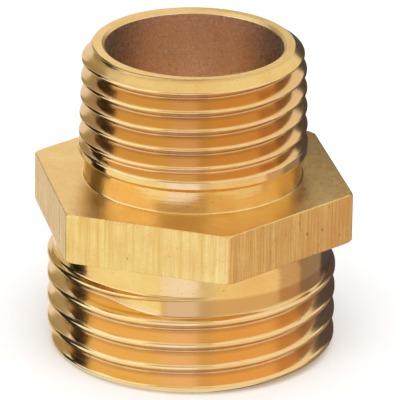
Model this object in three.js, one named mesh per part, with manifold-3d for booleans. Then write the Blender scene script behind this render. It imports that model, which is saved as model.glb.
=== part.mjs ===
// Brass adapter nipple: a wrench hex between a tapered male pipe thread (top) and a straight male
// garden hose thread (bottom), turned and drilled from one piece of hexagon bar.
// Units are millimetres. +Z runs up the bore. The origin is the centre of the hose end face, on which
// the part stands. Two wrench flats face +Y and -Y, and two hex corners lie on the X axis.

import * as THREE from 'three';
import { mergeVertices } from 'three/addons/utils/BufferGeometryUtils.js';
import Module from 'manifold-3d';

const wasm = await Module();
wasm.setup();

const INCH = 25.4;
const DEGREE = Math.PI / 180;
const FULL_TURN = 2 * Math.PI;

// Both threads have flanks at 30 degrees to a plane across the axis.
const FLANK_SLOPE = Math.tan(30 * DEGREE);

// Number of straight facets round every circle.
const FACETS = 48;

// The three lengths that make up the height, from the hose end face up.
const HOSE_LENGTH = 11.9;
const HEX_HEIGHT = 4.8;
const PIPE_LENGTH = 12.9;

const HEX_BOTTOM_Z = HOSE_LENGTH;
const HEX_TOP_Z = HEX_BOTTOM_Z + HEX_HEIGHT;
const PIPE_END_Z = HEX_TOP_Z + PIPE_LENGTH;

// Wrench hex, 1 1/16 inch across flats. A 30 degree cone turns its corners down to CHAMFER_RADIUS.
const HEX_ACROSS_FLATS = 1.0625 * INCH;
const HEX_CORNER_RADIUS = HEX_ACROSS_FLATS / Math.sqrt(3);
const HEX_CHAMFER_RADIUS = 15.25;
const HEX_CHAMFER_SLOPE = Math.tan(30 * DEGREE);

// Straight bore with a small chamfer at each mouth.
const BORE_RADIUS = 8.3;
const BORE_CHAMFER = 0.25;

// A circle inside the wall of both ends, where the hex is joined to the turned body.
const MID_WALL_RADIUS = 9;

// Garden hose thread, 3/4-11.5 NH: parallel, right-handed.
const HOSE_CREST_RADIUS = 1.0625 * INCH / 2;
const HOSE_PITCH = INCH / 11.5;
const HOSE_DEPTH = 1.4;
const HOSE_LAND = 0.28;
const HOSE_END_CHAMFER = 0.75;
const HOSE_COLLAR_RADIUS = 12.95;
const HOSE_SHOULDER_Z = 9.4;
const HOSE_SHOULDER_HEIGHT = 0.2;

// Tapered pipe thread, 1/2-14: right-handed, its diameter growing 1 in 16 away from the end.
const PIPE_CREST_RADIUS_AT_END = 10.36;
const PIPE_RADIUS_TAPER = 1 / 32;
const PIPE_PITCH = INCH / 14;
const PIPE_DEPTH = 1.2;
const PIPE_LAND = 0.3;
const PIPE_RIM_RADIUS = 9.3;
const PIPE_END_CHAMFER_HEIGHT = 0.8;
const PIPE_COLLAR_RADIUS = 10.15;
const PIPE_SHOULDER_Z = HEX_TOP_Z + 2.3;
const PIPE_SHOULDER_HEIGHT = 0.3;

// Each groove ends near the hex. RUNOUT_ANGLE is where it leaves the metal, and RUNOUT_Z the height
// there of the full groove's middle.
const HOSE_RUNOUT_ANGLE = -52.5 * DEGREE;
const HOSE_RUNOUT_Z = 10.66;
const PIPE_RUNOUT_ANGLE = 105 * DEGREE;
const PIPE_RUNOUT_Z = 19.56;

// Near its start the hose groove is flat-bottomed and level with the collar, and widens towards the
// hex. After WIDE turns it begins to narrow, after SHALLOW turns to deepen, and after FULL turns it is
// a full thread groove.
const HOSE_WIDENING = 0.48;
const HOSE_WIDENING_TURNS = 0.5;
const HOSE_WIDE_TURNS = 48 / FACETS;
const HOSE_SHALLOW_TURNS = 52 / FACETS;
const HOSE_FULL_TURNS = 58 / FACETS;
// How far the shallow groove stays outside the collar, so that it does not mark it.
const COLLAR_CLEARANCE = 0.01;

// The pipe groove starts from nothing and grows to its full depth over these turns.
const PIPE_FADE_TURNS = 0.95;
// How far outside the crest the pipe cutter's root starts.
const CUTTER_LIFT = 0.04;

// How far the groove cutters stand outside the crests they cut through.
const CUTTER_MARGIN = 0.12;

function pipeCrestRadius(z) {
  return PIPE_CREST_RADIUS_AT_END + PIPE_RADIUS_TAPER * (PIPE_END_Z - z);
}

function hoseCrestRadius() {
  return HOSE_CREST_RADIUS;
}

// Depth of the hose groove, and half its width at the crest, some turns after its run-out.
function hoseGrooveAt(turn) {
  const deepening = THREE.MathUtils.inverseLerp(HOSE_SHALLOW_TURNS, HOSE_FULL_TURNS, turn);
  const narrowing = THREE.MathUtils.inverseLerp(HOSE_WIDE_TURNS, HOSE_FULL_TURNS, turn);
  const widening = Math.min(turn / HOSE_WIDENING_TURNS, 1 - narrowing);
  const shallowCut = HOSE_CREST_RADIUS - HOSE_COLLAR_RADIUS - COLLAR_CLEARANCE;
  return {
    cut: THREE.MathUtils.lerp(shallowCut, HOSE_DEPTH, THREE.MathUtils.clamp(deepening, 0, 1)),
    halfWidth: (HOSE_PITCH - HOSE_LAND + HOSE_WIDENING * THREE.MathUtils.clamp(widening, 0, 1)) / 2,
  };
}

// The same for the pipe groove, which is narrower where it is shallower.
function pipeGrooveAt(turn) {
  const fade = Math.sqrt(Math.min(1, turn / PIPE_FADE_TURNS));
  const cut = fade * (PIPE_DEPTH + CUTTER_LIFT) - CUTTER_LIFT;
  return {
    cut,
    halfWidth: (PIPE_PITCH - PIPE_LAND) / 2 - (PIPE_DEPTH - cut) * FLANK_SLOPE,
  };
}

// Turns a closed geometry into a solid for joining and cutting.
function toSolid(geometry) {
  geometry.deleteAttribute('normal');
  geometry.deleteAttribute('uv');
  const merged = mergeVertices(geometry, 1e-4);
  return new wasm.Manifold(new wasm.Mesh({
    numProp: 3,
    vertProperties: new Float32Array(merged.attributes.position.array),
    triVerts: new Uint32Array(merged.index.array),
  }));
}

// A ring turned about Z. The profile lists [radius, z] points anticlockwise in the radius-Z plane.
function turnedRing(profile) {
  const points = [...profile, profile[0]].map(([radius, z]) => new THREE.Vector2(radius, z));
  const geometry = new THREE.LatheGeometry(points, FACETS);
  geometry.rotateX(Math.PI / 2);
  return toSolid(geometry);
}

// Everything that is round before the threads are cut: both ends, their collars and the bore.
function turnedBody() {
  const pipeShoulderTop = PIPE_SHOULDER_Z + PIPE_SHOULDER_HEIGHT;
  const pipeChamferZ = PIPE_END_Z - PIPE_END_CHAMFER_HEIGHT;
  return turnedRing([
    [BORE_RADIUS, BORE_CHAMFER],
    [BORE_RADIUS + BORE_CHAMFER, 0],
    [HOSE_CREST_RADIUS - HOSE_END_CHAMFER, 0],
    [HOSE_CREST_RADIUS, HOSE_END_CHAMFER],
    [HOSE_CREST_RADIUS, HOSE_SHOULDER_Z],
    [HOSE_COLLAR_RADIUS, HOSE_SHOULDER_Z + HOSE_SHOULDER_HEIGHT],
    [HOSE_COLLAR_RADIUS, HEX_BOTTOM_Z + HEX_HEIGHT / 2],
    [PIPE_COLLAR_RADIUS, HEX_BOTTOM_Z + HEX_HEIGHT / 2],
    [PIPE_COLLAR_RADIUS, PIPE_SHOULDER_Z],
    [pipeCrestRadius(pipeShoulderTop), pipeShoulderTop],
    [pipeCrestRadius(pipeChamferZ), pipeChamferZ],
    [PIPE_RIM_RADIUS, PIPE_END_Z],
    [BORE_RADIUS + BORE_CHAMFER, PIPE_END_Z],
    [BORE_RADIUS, PIPE_END_Z - BORE_CHAMFER],
  ]);
}

// The wrench hex, a slice of bar with a hole inside the wall of the turned body.
function hexBar() {
  const outline = new THREE.Shape();
  for (let corner = 0; corner < 6; corner += 1) {
    const angle = corner * 60 * DEGREE;
    const x = HEX_CORNER_RADIUS * Math.cos(angle);
    const y = HEX_CORNER_RADIUS * Math.sin(angle);
    if (corner === 0) outline.moveTo(x, y);
    else outline.lineTo(x, y);
  }
  outline.closePath();
  const hole = new THREE.Path();
  hole.absarc(0, 0, MID_WALL_RADIUS, 0, FULL_TURN, true);
  outline.holes.push(hole);
  const geometry = new THREE.ExtrudeGeometry(outline, {
    depth: HEX_HEIGHT,
    bevelEnabled: false,
    curveSegments: FACETS,
  });
  geometry.translate(0, 0, HEX_BOTTOM_Z);
  return toSolid(geometry);
}

// A disc with a cone above and below. What it shares with the bar is the hex with turned corners.
function hexChamferDisc() {
  const outerRadius = HEX_CORNER_RADIUS + 1;
  const drop = (outerRadius - HEX_CHAMFER_RADIUS) * HEX_CHAMFER_SLOPE;
  return turnedRing([
    [MID_WALL_RADIUS - 0.5, HEX_BOTTOM_Z],
    [HEX_CHAMFER_RADIUS, HEX_BOTTOM_Z],
    [outerRadius, HEX_BOTTOM_Z + drop],
    [outerRadius, HEX_TOP_Z - drop],
    [HEX_CHAMFER_RADIUS, HEX_TOP_Z],
    [MID_WALL_RADIUS - 0.5, HEX_TOP_Z],
  ]);
}

// A closed helical bar with the section of one thread groove, to be cut from the turned body.
// It starts at the run-out by the hex and winds towards the open end: up for `rise` 1, down for -1.
// Where the groove is wider or narrower than a full one, its flank on the open end's side keeps its place.
function grooveCutter({ pitch, land, crestRadius, grooveAt, runoutAngle, runoutZ, endZ, rise }) {
  const grooveWidth = pitch - land;
  const positions = [];
  const turns = (Math.abs(endZ - runoutZ) + grooveWidth) / pitch;
  const steps = Math.ceil(turns * FACETS);
  for (let step = 0; step <= steps; step += 1) {
    const turn = step / FACETS;
    const angle = runoutAngle + rise * turn * FULL_TURN;
    const fullMiddleZ = runoutZ + rise * turn * pitch;
    const crest = crestRadius(fullMiddleZ);
    const { cut, halfWidth } = grooveAt(turn);
    const middleZ = fullMiddleZ + rise * (grooveWidth / 2 - halfWidth);
    const rootHalfWidth = halfWidth - cut * FLANK_SLOPE;
    const outerHalfWidth = halfWidth + CUTTER_MARGIN * FLANK_SLOPE;
    const section = [
      [crest - cut, middleZ - rise * rootHalfWidth],
      [crest + CUTTER_MARGIN, middleZ - rise * outerHalfWidth],
      [crest + CUTTER_MARGIN, middleZ + rise * outerHalfWidth],
      [crest - cut, middleZ + rise * rootHalfWidth],
    ];
    for (const [radius, z] of section) {
      positions.push(radius * Math.cos(angle), radius * Math.sin(angle), z);
    }
  }
  const index = [0, 1, 2, 0, 2, 3];
  for (let step = 0; step < steps; step += 1) {
    for (let side = 0; side < 4; side += 1) {
      const near = step * 4 + side;
      const nearNext = step * 4 + (side + 1) % 4;
      const far = near + 4;
      const farNext = nearNext + 4;
      index.push(near, far, farNext, near, farNext, nearNext);
    }
  }
  const last = steps * 4;
  index.push(last, last + 2, last + 1, last, last + 3, last + 2);
  return new wasm.Manifold(new wasm.Mesh({
    numProp: 3,
    vertProperties: new Float32Array(positions),
    triVerts: new Uint32Array(index),
  }));
}

function toGeometry(solid) {
  const mesh = solid.getMesh();
  const geometry = new THREE.BufferGeometry();
  geometry.setAttribute('position', new THREE.BufferAttribute(mesh.vertProperties, 3));
  geometry.setIndex(new THREE.BufferAttribute(mesh.triVerts, 1));
  geometry.computeVertexNormals();
  return geometry;
}

const hoseGroove = grooveCutter({
  pitch: HOSE_PITCH,
  land: HOSE_LAND,
  crestRadius: hoseCrestRadius,
  grooveAt: hoseGrooveAt,
  runoutAngle: HOSE_RUNOUT_ANGLE,
  runoutZ: HOSE_RUNOUT_Z,
  endZ: 0,
  rise: -1,
});

const pipeGroove = grooveCutter({
  pitch: PIPE_PITCH,
  land: PIPE_LAND,
  crestRadius: pipeCrestRadius,
  grooveAt: pipeGrooveAt,
  runoutAngle: PIPE_RUNOUT_ANGLE,
  runoutZ: PIPE_RUNOUT_Z,
  endZ: PIPE_END_Z,
  rise: 1,
});

const nipple = turnedBody()
  .add(hexBar().intersect(hexChamferDisc()))
  .subtract(hoseGroove)
  .subtract(pipeGroove);

const brass = new THREE.MeshStandardMaterial({ color: 0xd9a55c, roughness: 0.28, metalness: 1 });

const body = new THREE.Mesh(toGeometry(nipple), brass);
body.name = 'nipple_body';

const adapter = new THREE.Group();
adapter.add(body);

export default adapter;
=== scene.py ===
import math

import bpy
import numpy as np
from mathutils import Matrix, Vector


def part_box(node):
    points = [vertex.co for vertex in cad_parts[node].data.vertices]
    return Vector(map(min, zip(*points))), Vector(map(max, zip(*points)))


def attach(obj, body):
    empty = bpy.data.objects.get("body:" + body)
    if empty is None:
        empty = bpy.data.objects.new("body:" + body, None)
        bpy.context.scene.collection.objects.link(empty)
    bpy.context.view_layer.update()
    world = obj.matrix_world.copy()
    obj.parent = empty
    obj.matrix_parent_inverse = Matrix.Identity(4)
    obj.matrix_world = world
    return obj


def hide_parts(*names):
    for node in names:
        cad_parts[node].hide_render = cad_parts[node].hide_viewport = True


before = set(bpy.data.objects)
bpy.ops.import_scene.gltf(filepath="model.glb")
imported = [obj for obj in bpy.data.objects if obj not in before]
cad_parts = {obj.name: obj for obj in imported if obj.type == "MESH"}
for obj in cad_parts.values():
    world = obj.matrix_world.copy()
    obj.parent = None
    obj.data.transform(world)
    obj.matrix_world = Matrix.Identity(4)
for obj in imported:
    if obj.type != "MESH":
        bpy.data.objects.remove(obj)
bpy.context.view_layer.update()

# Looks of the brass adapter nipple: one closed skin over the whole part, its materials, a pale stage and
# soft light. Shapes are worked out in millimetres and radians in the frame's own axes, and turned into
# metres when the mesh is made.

MM = 0.001
INCH = 25.4
FULL_TURN = 2 * math.pi

# Both threads' flanks lean 30 degrees, so the radius changes by this much for each millimetre of height.
FLANK_RISE = 1 / math.tan(math.radians(30))

# Overall sizes, read from the frame.
upper_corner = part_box("nipple_body")[1]
HEX_HALF_FLATS = upper_corner[1] / MM
PIPE_END_Z = upper_corner[2] / MM

HEX_BOTTOM_Z = 11.9
HEX_TOP_Z = 16.7

# The hex's corners are turned down to this radius by a cone of this angle.
HEX_CHAMFER_RADIUS = 15.25
HEX_CHAMFER_ANGLE = math.radians(30)
HEX_EDGE_ROUNDING = 0.09
HEX_CORNER_ROUNDING = 0.28

BORE_RADIUS = 8.3
BORE_CHAMFER = 0.25

# The hose crests stand this far inside the standard radius, to stay inside the frame's box.
BOX_CLEARANCE = 0.002
HOSE_CREST_RADIUS = 1.0625 * INCH / 2 - BOX_CLEARANCE
HOSE_END_CHAMFER = 0.75
HOSE_COLLAR_RADIUS = 12.95
HOSE_SHOULDER_Z = 9.4
HOSE_SHOULDER_SLOPE = 2.72
HOSE_THREAD_TOP_Z = 10.9

PIPE_CREST_RADIUS_AT_END = 10.36
PIPE_RADIUS_TAPER = 1 / 32
PIPE_RIM_RADIUS = 9.3
PIPE_END_CHAMFER_SLOPE = 1.33
PIPE_COLLAR_RADIUS = 10.15
PIPE_SHOULDER_Z = HEX_TOP_Z + 2.3
PIPE_SHOULDER_SLOPE = 1.78
PIPE_THREAD_BOTTOM_Z = HEX_TOP_Z + 1.8

# How far the upper and lower edges of the thread crests and other turned edges are rounded, and the
# fillets where the collars meet the hex.
CREST_TOP_ROUNDING = 0.12
CREST_FOOT_ROUNDING = 0.07
EDGE_ROUNDING = 0.12
COLLAR_FILLET = 0.18

# A groove starts at its run-out by the hex and winds towards the open end: up for a rise of 1.
HOSE_THREAD = {
    "pitch": INCH / 11.5,
    "depth": 1.4,
    "land": 0.28,
    "runout_angle": math.radians(-52.5),
    "runout_z": 10.66,
    "rise": -1,
}
PIPE_THREAD = {
    "pitch": INCH / 14,
    "depth": 1.2,
    "land": 0.16,
    "runout_angle": math.radians(105),
    "runout_z": 19.56,
    "rise": 1,
}

# Near its start the hose groove is flat-bottomed and level with the collar, and widens towards the
# hex. After WIDE turns it begins to narrow, after SHALLOW turns to deepen, and after FULL turns it is a
# full thread groove.
HOSE_WIDENING = 0.48
HOSE_WIDENING_TURNS = 0.5
HOSE_WIDE_TURNS = 1.0
HOSE_SHALLOW_TURNS = 1.0833
HOSE_FULL_TURNS = 1.2083

# The pipe groove grows from nothing to its full depth over these turns.
PIPE_FADE_TURNS = 0.95

# How fine the skin is: columns round the axis, with more at these degrees either side of a hex corner,
# rows in one turn of a thread, and rows round a fillet.
EVEN_COLUMNS = 240
CORNER_COLUMNS = (0.14, 0.28, 0.42, 0.56)
THREAD_ROWS = 22
FILLET_ROWS = 5

# Where rows lie across a flat strip and down the bore, from one edge at 0 to the other at 1. They crowd
# the edges, so that the shading turns there and not across the strip.
STRIP_SHARES = (0, 0.04, 0.3, 0.7, 0.96, 1)
BORE_SHARES = (0, 0.003, *np.linspace(0.04, 0.96, 24), 0.997, 1)

# Points that agree to this many decimals of a millimetre are welded.
WELD_DECIMALS = 5

# The skin's slots, one for each kind of surface.
HOSE_TURNED, PIPE_TURNED, DRAWN, FACED, BORED = range(5)

# Heights of the painted light and shade on each thread's flanks, and of the darker level hose groove.
HOSE_FLANK_HEIGHTS = (HOSE_END_CHAMFER, HOSE_SHOULDER_Z - 1)
PIPE_FLANK_HEIGHTS = (PIPE_SHOULDER_Z + 0.3, PIPE_END_Z - 0.8)
HOSE_LEVEL_GROOVE_HEIGHTS = (HOSE_SHOULDER_Z - 2, HOSE_SHOULDER_Z + 0.1)

# Tones of the brass, as linear red, green and blue. The bore's are pale because it mirrors itself
# several times, which deepens them.
BRASS = (0.89, 0.62, 0.22)
BRASS_DEEP = (0.85, 0.53, 0.17)
BRASS_WORN = (0.9, 0.65, 0.28)
DRAWN_PALE = (0.93, 0.68, 0.24)
DRAWN_DEEP = (0.76, 0.45, 0.11)
# Flank tones, painted light and shade: the pipe's flanks darker than the crests, the hose's paler in hue.
HOSE_FLANK_SHADING = (0.91, 0.61, 0.27)
PIPE_FLANK_SHADING = (0.79, 0.5, 0.2)
# A darker tone for the hose groove where it is level with the collar.
LEVEL_GROOVE_DARK = (0.69, 0.4, 0.13)
# Painted shade in the thread roots.
ROOT_SHADE = (0.45, 0.25, 0.11)
SPECK = (0.3, 0.15, 0.06)
BORE_TONE = (0.99, 0.81, 0.62)
BORE_DEEP = (0.98, 0.76, 0.57)

# The studio cards, mirrored by the brass and otherwise unseen; the flags are the darker ones. Each goes
# from one angle to another in degrees to the right of the camera, then from one to another above the
# part's middle, then come its brightness, its tint and its distance in millimetres. Most go from FOOT
# to SKYLINE and stand FAR away.
FOOT = -60
SKYLINE = -2
FAR = 120
CARDS = (
    ("card_behind_left", -178, -148, FOOT, 14, 0.95, (1, 0.97, 1), FAR),
    ("card_far_left", -148, -117, FOOT, SKYLINE, 0.75, (1, 0.93, 0.7), FAR),
    ("card_far_left_high", -150, -117, SKYLINE, 50, 0.4, (1, 0.88, 0.6), FAR),
    ("flag_left", -116, -92, FOOT, SKYLINE, 0.01, (1, 1, 1), 110),
    ("flag_left_low", -130, -97, FOOT, -33, 0.01, (1, 1, 1), 108),
    ("flag_left_high", -131, -101, SKYLINE, 40, 0.015, (1, 1, 1), 110),
    ("card_left", -93, -24, FOOT, SKYLINE, 1.07, (0.98, 1.03, 1.05), FAR),
    ("card_front", -24, 6, FOOT, SKYLINE, 1.1, (0.97, 1.05, 1.7), FAR),
    ("flag_front", 6, 18, FOOT, SKYLINE, 0.82, (1, 1, 1.1), FAR),
    ("card_right", 18, 75, FOOT, SKYLINE, 0.97, (1, 0.9, 0.85), FAR),
    ("card_far_right", 75, 98, FOOT, SKYLINE, 0.66, (1, 0.75, 0.7), FAR),
    ("flag_right", 98, 142, FOOT, 20, 0.35, (1, 0.83, 0.9), FAR),
    ("flag_behind_right", 120, 180, FOOT, 31.5, 0.09, (1, 0.88, 1.1), 42),
    ("softbox_left", -135, -36, 4, 50, 1.25, (1, 1.1, 1.5), FAR),
    ("softbox_front", -36, 16, 4, 50, 0.62, (1, 1, 1.3), FAR),
    ("softbox_right", 16, 90, 4, 50, 1.0, (1, 1.05, 1.4), FAR),
)

# A card is made of flat strips about this many degrees wide.
CARD_STEP = 4

# The stage: half the floor's side in metres, its tone and roughness, the strength of its light with the
# light's spread and lean, and the brightness all round.
FLOOR_HALF_SIDE = 1.5
FLOOR_TONE = (0.92, 0.92, 0.92)
FLOOR_ROUGHNESS = 0.7
FLOOR_LIGHT = 1.3
FLOOR_LIGHT_SPREAD = math.radians(60)
FLOOR_LIGHT_LEAN = math.radians(30)
ROOM_LEVEL = 0.95

# The camera: where it looks from, what it is aimed at and how large the part is in the picture.
CAMERA_AZIMUTH = math.radians(17.37)
CAMERA_ELEVATION = math.radians(22.9)
CAMERA_ROLL = math.radians(0.88)
CAMERA_DISTANCE = 475.0
CAMERA_TARGET_RIGHT = 0.73
CAMERA_TARGET_Z = 13.9
PIXELS_PER_MM = 10.72
IMAGE_SIDE = 400
SENSOR_WIDTH = 36.0


# ---- Shape of the outside --------------------------------------------------------------------

def smooth_min(a, b, rounding=EDGE_ROUNDING):
    """The smaller of a and b, the corner between them rounded."""
    share = np.clip(0.5 + 0.5 * (b - a) / rounding, 0, 1)
    return b * (1 - share) + a * share - rounding * share * (1 - share)


def smooth_max(a, b):
    """The larger of a and b, the corner between them rounded."""
    return -smooth_min(-a, -b)


def column_angles():
    """The angles of the skin's columns: even all round, with more across each rounded hex corner."""
    even = [step * FULL_TURN / EVEN_COLUMNS for step in range(EVEN_COLUMNS)]
    offsets = np.radians([side * offset for side in (-1, 1) for offset in CORNER_COLUMNS])
    extra = [(corner * FULL_TURN / 6 + offset) % FULL_TURN for corner in range(6) for offset in offsets]
    return np.array(sorted(even + extra))


ANGLES = column_angles()


def hex_radius(angle):
    """Distance from the axis to the hexagon, its corners rounded, along an angle."""
    sector = FULL_TURN / 6
    from_corner = (angle + sector / 2) % sector - sector / 2
    flat = HEX_HALF_FLATS / np.cos(sector / 2 - np.abs(from_corner))
    centre = (HEX_HALF_FLATS - HEX_CORNER_ROUNDING) / math.cos(sector / 2)
    inside = HEX_CORNER_ROUNDING ** 2 - (centre * np.sin(from_corner)) ** 2
    arc = centre * np.cos(from_corner) + np.sqrt(np.maximum(inside, 0))
    arc_end = math.atan2(
        HEX_CORNER_ROUNDING * math.sin(sector / 2),
        centre + HEX_CORNER_ROUNDING * math.cos(sector / 2))
    return np.where(np.abs(from_corner) < arc_end, arc, flat)


def hose_blank(z):
    """Outside radius of the hose end before its thread is cut."""
    chamfer = HOSE_CREST_RADIUS - HOSE_END_CHAMFER + z
    shoulder = HOSE_CREST_RADIUS - HOSE_SHOULDER_SLOPE * (z - HOSE_SHOULDER_Z)
    collar = smooth_max(shoulder, np.full_like(z, HOSE_COLLAR_RADIUS))
    return smooth_min(smooth_min(chamfer, np.full_like(z, HOSE_CREST_RADIUS)), collar)


def pipe_crest(z):
    return PIPE_CREST_RADIUS_AT_END + PIPE_RADIUS_TAPER * (PIPE_END_Z - z)


def pipe_blank(z):
    """Outside radius of the pipe end before its thread is cut."""
    chamfer = PIPE_RIM_RADIUS + PIPE_END_CHAMFER_SLOPE * (PIPE_END_Z - z)
    shoulder = PIPE_COLLAR_RADIUS + PIPE_SHOULDER_SLOPE * (z - PIPE_SHOULDER_Z)
    collar = smooth_max(shoulder, np.full_like(z, PIPE_COLLAR_RADIUS))
    return smooth_min(smooth_min(chamfer, pipe_crest(z)), collar)


def v_groove(thread, middle, lowest, z, flat=0):
    """Radius of a full-sized groove: its middle height, lowest radius and half the flat of its root."""
    root_rounding = (thread["pitch"] - thread["land"]) / 2 * FLANK_RISE - thread["depth"]
    across = np.maximum(np.abs(z - middle) - flat, 0) * FLANK_RISE
    return lowest - root_rounding + np.sqrt(across ** 2 + root_rounding ** 2)


def cut_edge(radius, groove, at_crest_foot):
    """radius with a groove cut. The crest below it gets a round upper edge, the one above a crisp foot."""
    return smooth_min(radius, groove, np.where(at_crest_foot, CREST_FOOT_ROUNDING, CREST_TOP_ROUNDING))


def progress(turn, start, end):
    """0 before the start, 1 after the end, and evenly between them."""
    return np.clip((turn - start) / (end - start), 0, 1)


def cut_hose_groove(radius, turn, z):
    """radius with one turn of the hose groove cut: flat-bottomed and level with the collar at first."""
    thread = HOSE_THREAD
    widening = HOSE_WIDENING * np.minimum(
        progress(turn, 0, HOSE_WIDENING_TURNS), 1 - progress(turn, HOSE_WIDE_TURNS, HOSE_FULL_TURNS))
    middle = thread["runout_z"] + thread["rise"] * turn * thread["pitch"] + widening / 2
    full = v_groove(thread, middle, HOSE_CREST_RADIUS - thread["depth"], z, widening / 2)
    bottom = HOSE_COLLAR_RADIUS - thread["depth"] * progress(turn, HOSE_SHALLOW_TURNS, HOSE_FULL_TURNS)
    return np.maximum(cut_edge(radius, full, z > middle), np.minimum(radius, bottom))


def cut_pipe_groove(radius, turn, z):
    """radius with one turn of the pipe groove cut: it grows from nothing, and its upper flank stays put."""
    thread = PIPE_THREAD
    fade = np.sqrt(progress(turn, 0, PIPE_FADE_TURNS))
    cut = fade * (thread["depth"] + CREST_TOP_ROUNDING) - CREST_TOP_ROUNDING
    full_middle = thread["runout_z"] + thread["rise"] * turn * thread["pitch"]
    middle = full_middle + thread["rise"] * (thread["depth"] - cut) / FLANK_RISE
    groove = v_groove(thread, middle, pipe_crest(full_middle) - cut, z)
    return np.where(turn > 0, cut_edge(radius, groove, z > middle), radius)


def threaded(thread, blank, cut_groove, angle, z):
    """Outside radius at an angle and height, the two nearest turns of the groove cut."""
    start = (thread["rise"] * (angle - thread["runout_angle"]) / FULL_TURN) % 1
    along = thread["rise"] * (z - thread["runout_z"]) / thread["pitch"]
    before = start + np.floor(along - start)
    return cut_groove(cut_groove(blank(z), before, z), before + 1, z)


def hose_outside(angle, z):
    return threaded(HOSE_THREAD, hose_blank, cut_hose_groove, angle, z)


def pipe_outside(angle, z):
    return threaded(PIPE_THREAD, pipe_blank, cut_pipe_groove, angle, z)


# ---- The skin --------------------------------------------------------------------------------

class Skin:
    """Gathers grids of points round the axis into one closed mesh.

    Columns run anticlockwise seen from above. Rows run up the outside, in across the top, down the bore
    and out across the bottom, so that every face looks outward.
    """

    def __init__(self):
        self.points = []
        self.faces = []
        self.slots = []
        self.count = 0

    def add(self, rows, slot, seam_shift=0):
        """rows is [row, column, xyz]. Past the last column a row goes on as the row seam_shift above."""
        rows = np.array(rows)
        row_count, column_count = rows.shape[:2]
        row, column = np.meshgrid(np.arange(row_count - 1), np.arange(column_count), indexing="ij")
        next_row = np.where(column == column_count - 1, row + seam_shift, row)
        here = row * column_count + column
        there = next_row * column_count + (column + 1) % column_count
        quads = np.stack([here, there, there + column_count, here + column_count], axis=-1)
        quads = quads[next_row + 1 < row_count] + self.count
        self.points.append(rows.reshape(-1, 3))
        self.faces.append(quads)
        self.slots.append(np.full(len(quads), slot))
        self.count += row_count * column_count

    def build(self, name):
        """The mesh in metres, its grids welded where they meet and empty faces left out."""
        points, index = np.unique(
            np.round(np.concatenate(self.points), WELD_DECIMALS), axis=0, return_inverse=True)
        corners = index.reshape(-1)[np.concatenate(self.faces)]
        polygons = []
        slots = []
        for face, slot in zip(corners.tolist(), np.concatenate(self.slots).tolist()):
            kept = [corner for place, corner in enumerate(face) if corner != face[place - 1]]
            if len(set(kept)) == len(kept) > 2:
                polygons.append(kept)
                slots.append(slot)
        mesh = bpy.data.meshes.new(name)
        mesh.from_pydata((points * MM).tolist(), [], polygons)
        mesh.polygons.foreach_set("material_index", slots)
        mesh.polygons.foreach_set("use_smooth", [True] * len(polygons))
        mesh.update()
        return mesh


def ring(radius, z):
    """One row: radius and height may be numbers, or one value for each column."""
    radius = np.broadcast_to(radius, ANGLES.shape)
    z = np.broadcast_to(z, ANGLES.shape)
    return np.stack([radius * np.cos(ANGLES), radius * np.sin(ANGLES), z], axis=-1)


def outside_ring(outside, z):
    return ring(outside(ANGLES, np.full_like(ANGLES, z)), z)


def between(start, end, shares):
    """Rows on straight lines from one row to another."""
    return [start * (1 - share) + end * share for share in shares]


def arc_rows(radius, z, rounding, start, end):
    """Rows round an arc in the plane of the axis, from one angle in degrees to another."""
    turns = np.radians(np.linspace(start, end, FILLET_ROWS))
    return [ring(radius + rounding * math.cos(turn), z + rounding * math.sin(turn)) for turn in turns]


def thread_rows(thread, outside, bottom, top):
    """Rows that follow the thread's helix, held between two heights."""
    pitch = thread["pitch"]
    helix = thread["runout_z"] + pitch * (ANGLES - thread["runout_angle"]) / FULL_TURN
    first = math.floor((bottom - helix.max()) / pitch) - 1
    last = math.ceil((top - helix.min()) / pitch) + 1
    rows = []
    for step in range(first * THREAD_ROWS, last * THREAD_ROWS + 1):
        z = np.clip(helix + pitch * step / THREAD_ROWS, bottom, top)
        rows.append(ring(outside(ANGLES, z), z))
    return rows


def hex_edge_rows(side):
    """Rows from the hex's end face to the foot of its turned cone, and from there on to its flats.

    side is 1 for the top edge and -1 for the bottom one.
    """
    face_z = HEX_TOP_Z if side > 0 else HEX_BOTTOM_Z
    rounding = HEX_EDGE_ROUNDING
    flat_centre = hex_radius(ANGLES) - rounding
    cone_centre = HEX_CHAMFER_RADIUS - rounding * math.tan(HEX_CHAMFER_ANGLE / 2)
    drop = np.maximum(rounding, rounding + (flat_centre - cone_centre) * math.tan(HEX_CHAMFER_ANGLE))
    cone = []
    for step in (90, 80, 70, 60):
        turn = math.radians(step)
        cone.append(ring(
            np.minimum(cone_centre, flat_centre) + rounding * math.cos(turn),
            face_z - side * rounding * (1 - math.sin(turn))))
    edge = []
    for step in (60, 45, 30, 15, 0):
        turn = math.radians(step)
        edge.append(ring(
            flat_centre + rounding * math.cos(turn),
            face_z - side * (drop - rounding * math.sin(turn))))
    return cone + edge[:1], edge


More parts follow.
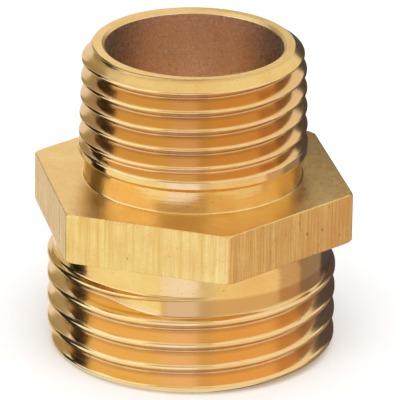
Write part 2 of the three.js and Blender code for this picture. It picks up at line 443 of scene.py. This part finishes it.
def build_skin():
    skin = Skin()
    mouth_radius = BORE_RADIUS + BORE_CHAMFER

    hose_mouth = ring(mouth_radius, 0)
    skin.add(between(hose_mouth, outside_ring(hose_outside, 0), STRIP_SHARES), FACED)
    skin.add(
        thread_rows(HOSE_THREAD, hose_outside, 0, HOSE_THREAD_TOP_Z), HOSE_TURNED, seam_shift=THREAD_ROWS)
    fillet = arc_rows(
        HOSE_COLLAR_RADIUS + COLLAR_FILLET, HEX_BOTTOM_Z - COLLAR_FILLET, COLLAR_FILLET, 180, 90)
    skin.add([outside_ring(hose_outside, HOSE_THREAD_TOP_Z)] + fillet, HOSE_TURNED)

    bottom_cone, bottom_edge = hex_edge_rows(-1)
    top_cone, top_edge = hex_edge_rows(1)
    skin.add(between(fillet[-1], bottom_cone[0], STRIP_SHARES), FACED)
    skin.add(bottom_cone, FACED)
    skin.add(bottom_edge, DRAWN)
    skin.add(between(bottom_edge[-1], top_edge[-1], STRIP_SHARES), DRAWN)
    skin.add(top_edge[::-1], DRAWN)
    skin.add(top_cone[::-1], FACED)

    fillet = arc_rows(
        PIPE_COLLAR_RADIUS + COLLAR_FILLET, HEX_TOP_Z + COLLAR_FILLET, COLLAR_FILLET, 270, 180)
    skin.add(between(top_cone[0], fillet[0], STRIP_SHARES), FACED)
    skin.add(fillet + [outside_ring(pipe_outside, PIPE_THREAD_BOTTOM_Z)], PIPE_TURNED)
    skin.add(
        thread_rows(PIPE_THREAD, pipe_outside, PIPE_THREAD_BOTTOM_Z, PIPE_END_Z),
        PIPE_TURNED, seam_shift=THREAD_ROWS)

    pipe_mouth = ring(mouth_radius, PIPE_END_Z)
    pipe_lip = ring(BORE_RADIUS, PIPE_END_Z - BORE_CHAMFER)
    hose_lip = ring(BORE_RADIUS, BORE_CHAMFER)
    skin.add(between(outside_ring(pipe_outside, PIPE_END_Z), pipe_mouth, STRIP_SHARES), FACED)
    skin.add(between(pipe_mouth, pipe_lip, STRIP_SHARES), FACED)
    skin.add(between(pipe_lip, hose_lip, BORE_SHARES), BORED)
    skin.add(between(hose_lip, hose_mouth, STRIP_SHARES), FACED)
    return skin.build("brass_nipple")


# ---- Materials -------------------------------------------------------------------------------

class Nodes:
    """Builds the node tree of one brass material. Lengths in it are millimetres."""

    def __init__(self, name):
        self.material = bpy.data.materials.new(name)
        self.material.use_nodes = True
        self.tree = self.material.node_tree
        self.shader = self.tree.nodes["Principled BSDF"]
        self.shader.inputs["Metallic"].default_value = 1
        place = self.node("ShaderNodeTexCoord").outputs["Object"]
        self.place = self.vector("SCALE", place, scale=1 / MM)
        parts = self.node("ShaderNodeSeparateXYZ")
        self.tree.links.new(self.place, parts.inputs[0])
        self.x, self.y, self.z = parts.outputs
        x_squared = self.math("MULTIPLY", self.x, self.x)
        y_squared = self.math("MULTIPLY", self.y, self.y)
        self.radius = self.math("SQRT", self.math("ADD", x_squared, y_squared))

    def node(self, kind, **settings):
        node = self.tree.nodes.new(kind)
        for key, value in settings.items():
            setattr(node, key, value)
        return node

    def feed(self, socket, value):
        if isinstance(value, bpy.types.NodeSocket):
            self.tree.links.new(value, socket)
        else:
            socket.default_value = value

    def math(self, operation, *values):
        node = self.node("ShaderNodeMath", operation=operation)
        for socket, value in zip(node.inputs, values):
            self.feed(socket, value)
        return node.outputs[0]

    def vector(self, operation, *values, scale=1.0):
        node = self.node("ShaderNodeVectorMath", operation=operation)
        for socket, value in zip(node.inputs, values):
            self.feed(socket, value)
        node.inputs["Scale"].default_value = scale
        return node.outputs[0]

    def combine(self, x, y, z):
        node = self.node("ShaderNodeCombineXYZ")
        for socket, value in zip(node.inputs, (x, y, z)):
            self.feed(socket, value)
        return node.outputs[0]

    def noise(self, place, size, detail=2.0, rough=0.5):
        """Noise from 0 to 1 whose patches are about size wide."""
        node = self.node("ShaderNodeTexNoise")
        self.feed(node.inputs["Vector"], place)
        node.inputs["Scale"].default_value = 1 / size
        node.inputs["Detail"].default_value = detail
        node.inputs["Roughness"].default_value = rough
        return node.outputs["Fac"]

    def range(self, value, low, high, to_low=0.0, to_high=1.0):
        """value from low to high turned into to_low to to_high, and held there beyond."""
        node = self.node("ShaderNodeMapRange")
        self.feed(node.inputs["Value"], value)
        limits = {"From Min": low, "From Max": high, "To Min": to_low, "To Max": to_high}
        for name, number in limits.items():
            node.inputs[name].default_value = number
        return node.outputs["Result"]

    def band(self, value, low, low_full, high_full, high):
        """1 while value is from low_full to high_full, fading to 0 at low and at high."""
        return self.math("MULTIPLY", self.range(value, low, low_full), self.range(value, high, high_full))

    def mix(self, share, a, b):
        """Colour a with a share of colour b."""
        node = self.node("ShaderNodeMix", data_type="RGBA")
        self.feed(node.inputs["Factor"], share)
        for name, colour in (("A", a), ("B", b)):
            socket = next(s for s in node.inputs if s.name == name and s.type == "RGBA")
            self.feed(socket, (*colour, 1) if isinstance(colour, tuple) else colour)
        return next(s for s in node.outputs if s.type == "RGBA")

    def bump(self, height, distance, normal=None):
        """Relief from a height of 0 to 1 that stands for so many millimetres."""
        node = self.node("ShaderNodeBump")
        node.inputs["Distance"].default_value = distance * MM
        self.feed(node.inputs["Height"], height)
        if normal is not None:
            self.feed(node.inputs["Normal"], normal)
        return node.outputs["Normal"]

    def round_place(self, round_length, cross_length):
        """Coordinates drawn out round the axis, for ring marks: they run along it and in the radius."""
        cross = self.math("ADD", self.z, self.radius)
        return self.combine(
            self.math("DIVIDE", self.x, round_length),
            self.math("DIVIDE", self.y, round_length),
            self.math("DIVIDE", cross, cross_length))

    def finish(self, colour, roughness, normal):
        self.feed(self.shader.inputs["Base Color"], colour)
        self.feed(self.shader.inputs["Roughness"], roughness)
        self.feed(self.shader.inputs["Normal"], normal)
        return self.material


def mottled(nodes, light, deep):
    """Brass whose tone drifts between two colours, with fine dark specks."""
    drift = nodes.range(nodes.noise(nodes.place, 2.6, detail=4, rough=0.6), 0.32, 0.68)
    speck = nodes.range(nodes.noise(nodes.place, 0.22, detail=1), 0.67, 0.78)
    tone = nodes.mix(drift, light, deep)
    return nodes.mix(nodes.math("MULTIPLY", speck, 0.45), tone, SPECK)


def darken_level_groove(nodes, colour, sunk, low, high):
    """colour made darker where the groove is level with the collar, between two heights."""
    heights = nodes.band(nodes.z, low, low + 0.2, high - 0.3, high)
    level = nodes.band(sunk, 0.3, 0.36, 0.42, 0.46)
    return nodes.mix(nodes.math("MULTIPLY", heights, level), colour, LEVEL_GROOVE_DARK)


def turned_brass(name, crest_at_zero, taper, depth, flank_shading, flank_heights, level_groove_heights=None):
    """Turned metal: ring marks, worn crests, painted shade in the roots, and painted light and shade on the
    flanks between two heights.

    The crests' radius is crest_at_zero at height 0 and loses taper for each millimetre up. sunk is 0 at
    the crests and 1 at the full depth.
    """
    bottom, top = flank_heights
    nodes = Nodes(name)
    crest = nodes.math("SUBTRACT", crest_at_zero, nodes.math("MULTIPLY", nodes.z, taper))
    sunk = nodes.math("DIVIDE", nodes.math("SUBTRACT", crest, nodes.radius), depth)
    rings = nodes.noise(nodes.round_place(9.0, 0.16), 1.0, detail=2)
    chatter = nodes.noise(nodes.round_place(1.3, 0.5), 1.0, detail=3, rough=0.6)
    # Patches where the painted shade in the roots is stronger or weaker.
    root_shade_drift = nodes.range(nodes.noise(nodes.place, 1.1, detail=4, rough=0.65), 0.3, 0.7, 0.75, 1.15)

    colour = mottled(nodes, BRASS, BRASS_DEEP)
    # Painted light and shade: the flanks between two heights take a tone of their own.
    in_thread = nodes.band(nodes.z, bottom, bottom + 0.3, top - 0.3, top)
    flank = nodes.math("MULTIPLY", in_thread, nodes.range(sunk, -0.3, 0.3))
    colour = nodes.mix(flank, colour, flank_shading)
    # The hose groove is darker where it is level with the collar.
    if level_groove_heights is not None:
        colour = darken_level_groove(nodes, colour, sunk, *level_groove_heights)
    # Painted shade in the thread roots, its strength drifting in patches.
    root = nodes.math("MULTIPLY", nodes.range(sunk, 0.7, 0.98), root_shade_drift)
    colour = nodes.mix(nodes.math("MULTIPLY", root, 0.5), colour, ROOT_SHADE)
    worn = nodes.math("MULTIPLY", nodes.range(sunk, 0.16, 0.02), nodes.range(chatter, 0.4, 0.62))
    colour = nodes.mix(nodes.math("MULTIPLY", worn, 0.5), colour, BRASS_WORN)

    ring_roughness = nodes.range(rings, 0.3, 0.7, 0.1, 0.18)
    roughness = nodes.math("ADD", ring_roughness, nodes.range(sunk, 0.2, 0.9, 0.0, 0.06))
    normal = nodes.bump(rings, 0.003)
    return nodes.finish(colour, roughness, nodes.bump(chatter, 0.006, normal))


def drawn_brass(name):
    """The hex flats: the bar's own drawn skin, with fine lines along the bar and small pits."""
    nodes = Nodes(name)
    lines_place = nodes.combine(nodes.x, nodes.y, nodes.math("DIVIDE", nodes.z, 25))
    fine = nodes.noise(lines_place, 0.16, detail=3, rough=0.6)
    broad = nodes.noise(lines_place, 0.5, detail=3, rough=0.6)
    pits = nodes.range(nodes.noise(nodes.place, 0.5, detail=2, rough=0.6), 0.69, 0.76)

    colour = mottled(nodes, DRAWN_PALE, BRASS_DEEP)
    colour = nodes.mix(nodes.range(broad, 0.46, 0.66, 0.0, 0.75), colour, DRAWN_DEEP)
    colour = nodes.mix(nodes.range(fine, 0.5, 0.72, 0.0, 0.4), colour, DRAWN_DEEP)
    colour = nodes.mix(nodes.math("MULTIPLY", pits, 0.8), colour, SPECK)

    roughness = nodes.range(fine, 0.3, 0.7, 0.22, 0.36)
    normal = nodes.bump(nodes.math("SUBTRACT", 1.0, pits), 0.03)
    normal = nodes.bump(broad, 0.05, normal)
    return nodes.finish(colour, roughness, nodes.bump(fine, 0.012, normal))


def faced_brass(name):
    """End faces and the hex's end faces: rings left by the facing tool."""
    nodes = Nodes(name)
    rings = nodes.noise(nodes.round_place(14.0, 0.2), 1.0, detail=2)
    rough_skin = nodes.noise(nodes.place, 0.35, detail=3, rough=0.6)
    colour = mottled(nodes, BRASS, BRASS_DEEP)
    colour = nodes.mix(nodes.range(rough_skin, 0.5, 0.75, 0.0, 0.4), colour, BRASS_DEEP)
    roughness = nodes.range(rough_skin, 0.3, 0.7, 0.28, 0.42)
    return nodes.finish(colour, roughness, nodes.bump(rough_skin, 0.02, nodes.bump(rings, 0.008)))


def bored_brass(name):
    """The drilled bore: duller and paler, with faint ring marks and grain."""
    nodes = Nodes(name)
    rings = nodes.noise(nodes.round_place(5.0, 0.3), 1.0, detail=3, rough=0.6)
    grain = nodes.noise(nodes.place, 0.3, detail=3, rough=0.6)
    colour = mottled(nodes, BORE_TONE, BORE_DEEP)
    colour = nodes.mix(nodes.range(grain, 0.45, 0.75, 0.0, 0.5), colour, BORE_DEEP)
    roughness = nodes.range(grain, 0.3, 0.7, 0.2, 0.32)
    return nodes.finish(colour, roughness, nodes.bump(grain, 0.005, nodes.bump(rings, 0.008)))


# ---- Stage -----------------------------------------------------------------------------------

def add_floor():
    side = FLOOR_HALF_SIDE
    corners = [(-side, -side, 0), (side, -side, 0), (side, side, 0), (-side, side, 0)]
    mesh = bpy.data.meshes.new("floor")
    mesh.from_pydata(corners, [], [(0, 1, 2, 3)])
    floor = bpy.data.objects.new("floor", mesh)
    bpy.context.collection.objects.link(floor)
    material = bpy.data.materials.new("floor_white")
    material.use_nodes = True
    shader = material.node_tree.nodes["Principled BSDF"]
    shader.inputs["Base Color"].default_value = (*FLOOR_TONE, 1)
    shader.inputs["Roughness"].default_value = FLOOR_ROUGHNESS
    mesh.materials.append(material)
    floor.visible_glossy = False


def card_material(name, level, tint):
    """An even card of one brightness, lit by nothing else."""
    material = bpy.data.materials.new(name)
    material.use_nodes = True
    tree = material.node_tree
    tree.nodes.clear()
    light = tree.nodes.new("ShaderNodeEmission")
    light.inputs["Color"].default_value = (*tint, 1)
    light.inputs["Strength"].default_value = level
    output = tree.nodes.new("ShaderNodeOutputMaterial")
    tree.links.new(light.outputs[0], output.inputs["Surface"])
    return material


def add_card(name, first, last, low, high, level, tint, distance):
    """A curved studio card round the part, seen only in its gloss."""
    middle = Vector((0, 0, PIPE_END_Z / 2))
    steps = max(2, round((last - first) / CARD_STEP) + 1)
    points = []
    for step in range(steps):
        angle = CAMERA_AZIMUTH - math.pi / 2 + math.radians(first + (last - first) * step / (steps - 1))
        for height in (low, high):
            reach = Vector((math.cos(angle), math.sin(angle), math.tan(math.radians(height)))) * distance
            points.append((middle + reach) * MM)
    faces = [(2 * step, 2 * step + 2, 2 * step + 3, 2 * step + 1) for step in range(steps - 1)]
    mesh = bpy.data.meshes.new(name)
    mesh.from_pydata([tuple(point) for point in points], [], faces)
    mesh.materials.append(card_material(name, level, tint))
    card = bpy.data.objects.new(name, mesh)
    bpy.context.collection.objects.link(card)
    card.visible_camera = False
    card.visible_diffuse = False
    card.visible_shadow = False


def add_floor_light():
    """Soft light from above the camera that only the floor shows."""
    data = bpy.data.lights.new("floor_light", "SUN")
    data.energy = FLOOR_LIGHT
    data.angle = FLOOR_LIGHT_SPREAD
    light = bpy.data.objects.new("floor_light", data)
    bpy.context.collection.objects.link(light)
    light.rotation_euler = (FLOOR_LIGHT_LEAN, 0, CAMERA_AZIMUTH)
    light.visible_glossy = False


def add_world():
    world = bpy.data.worlds.new("studio")
    bpy.context.scene.world = world
    world.use_nodes = True
    background = world.node_tree.nodes["Background"]
    background.inputs["Color"].default_value = (1, 1, 1, 1)
    background.inputs["Strength"].default_value = ROOM_LEVEL


def add_camera():
    data = bpy.data.cameras.new("camera")
    data.sensor_width = SENSOR_WIDTH
    data.lens = SENSOR_WIDTH * PIXELS_PER_MM * CAMERA_DISTANCE / IMAGE_SIDE
    camera = bpy.data.objects.new("camera", data)
    bpy.context.collection.objects.link(camera)
    right = Vector((math.cos(CAMERA_AZIMUTH), math.sin(CAMERA_AZIMUTH), 0))
    back = Vector((
        math.sin(CAMERA_AZIMUTH) * math.cos(CAMERA_ELEVATION),
        -math.cos(CAMERA_AZIMUTH) * math.cos(CAMERA_ELEVATION),
        math.sin(CAMERA_ELEVATION)))
    target = right * CAMERA_TARGET_RIGHT + Vector((0, 0, CAMERA_TARGET_Z))
    camera.location = (target + back * CAMERA_DISTANCE) * MM
    upright = Matrix((right, back.cross(right), back)).transposed()
    camera.rotation_euler = (upright @ Matrix.Rotation(CAMERA_ROLL, 3, "Z")).to_euler()
    bpy.context.scene.camera = camera


def add_part():
    mesh = build_skin()
    mesh.materials.append(turned_brass(
        "brass_hose_end", HOSE_CREST_RADIUS, 0, HOSE_THREAD["depth"],
        HOSE_FLANK_SHADING, HOSE_FLANK_HEIGHTS, HOSE_LEVEL_GROOVE_HEIGHTS))
    mesh.materials.append(turned_brass(
        "brass_pipe_end", pipe_crest(0), PIPE_RADIUS_TAPER, PIPE_THREAD["depth"],
        PIPE_FLANK_SHADING, PIPE_FLANK_HEIGHTS))
    mesh.materials.append(drawn_brass("brass_drawn"))
    mesh.materials.append(faced_brass("brass_faced"))
    mesh.materials.append(bored_brass("brass_bored"))
    part = bpy.data.objects.new("brass_nipple", mesh)
    bpy.context.collection.objects.link(part)
    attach(part, "root")
    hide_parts("nipple_body")


add_part()
add_floor()
for card in CARDS:
    add_card(*card)
add_floor_light()
add_world()
add_camera()
bpy.context.scene.view_settings.view_transform = "Standard"
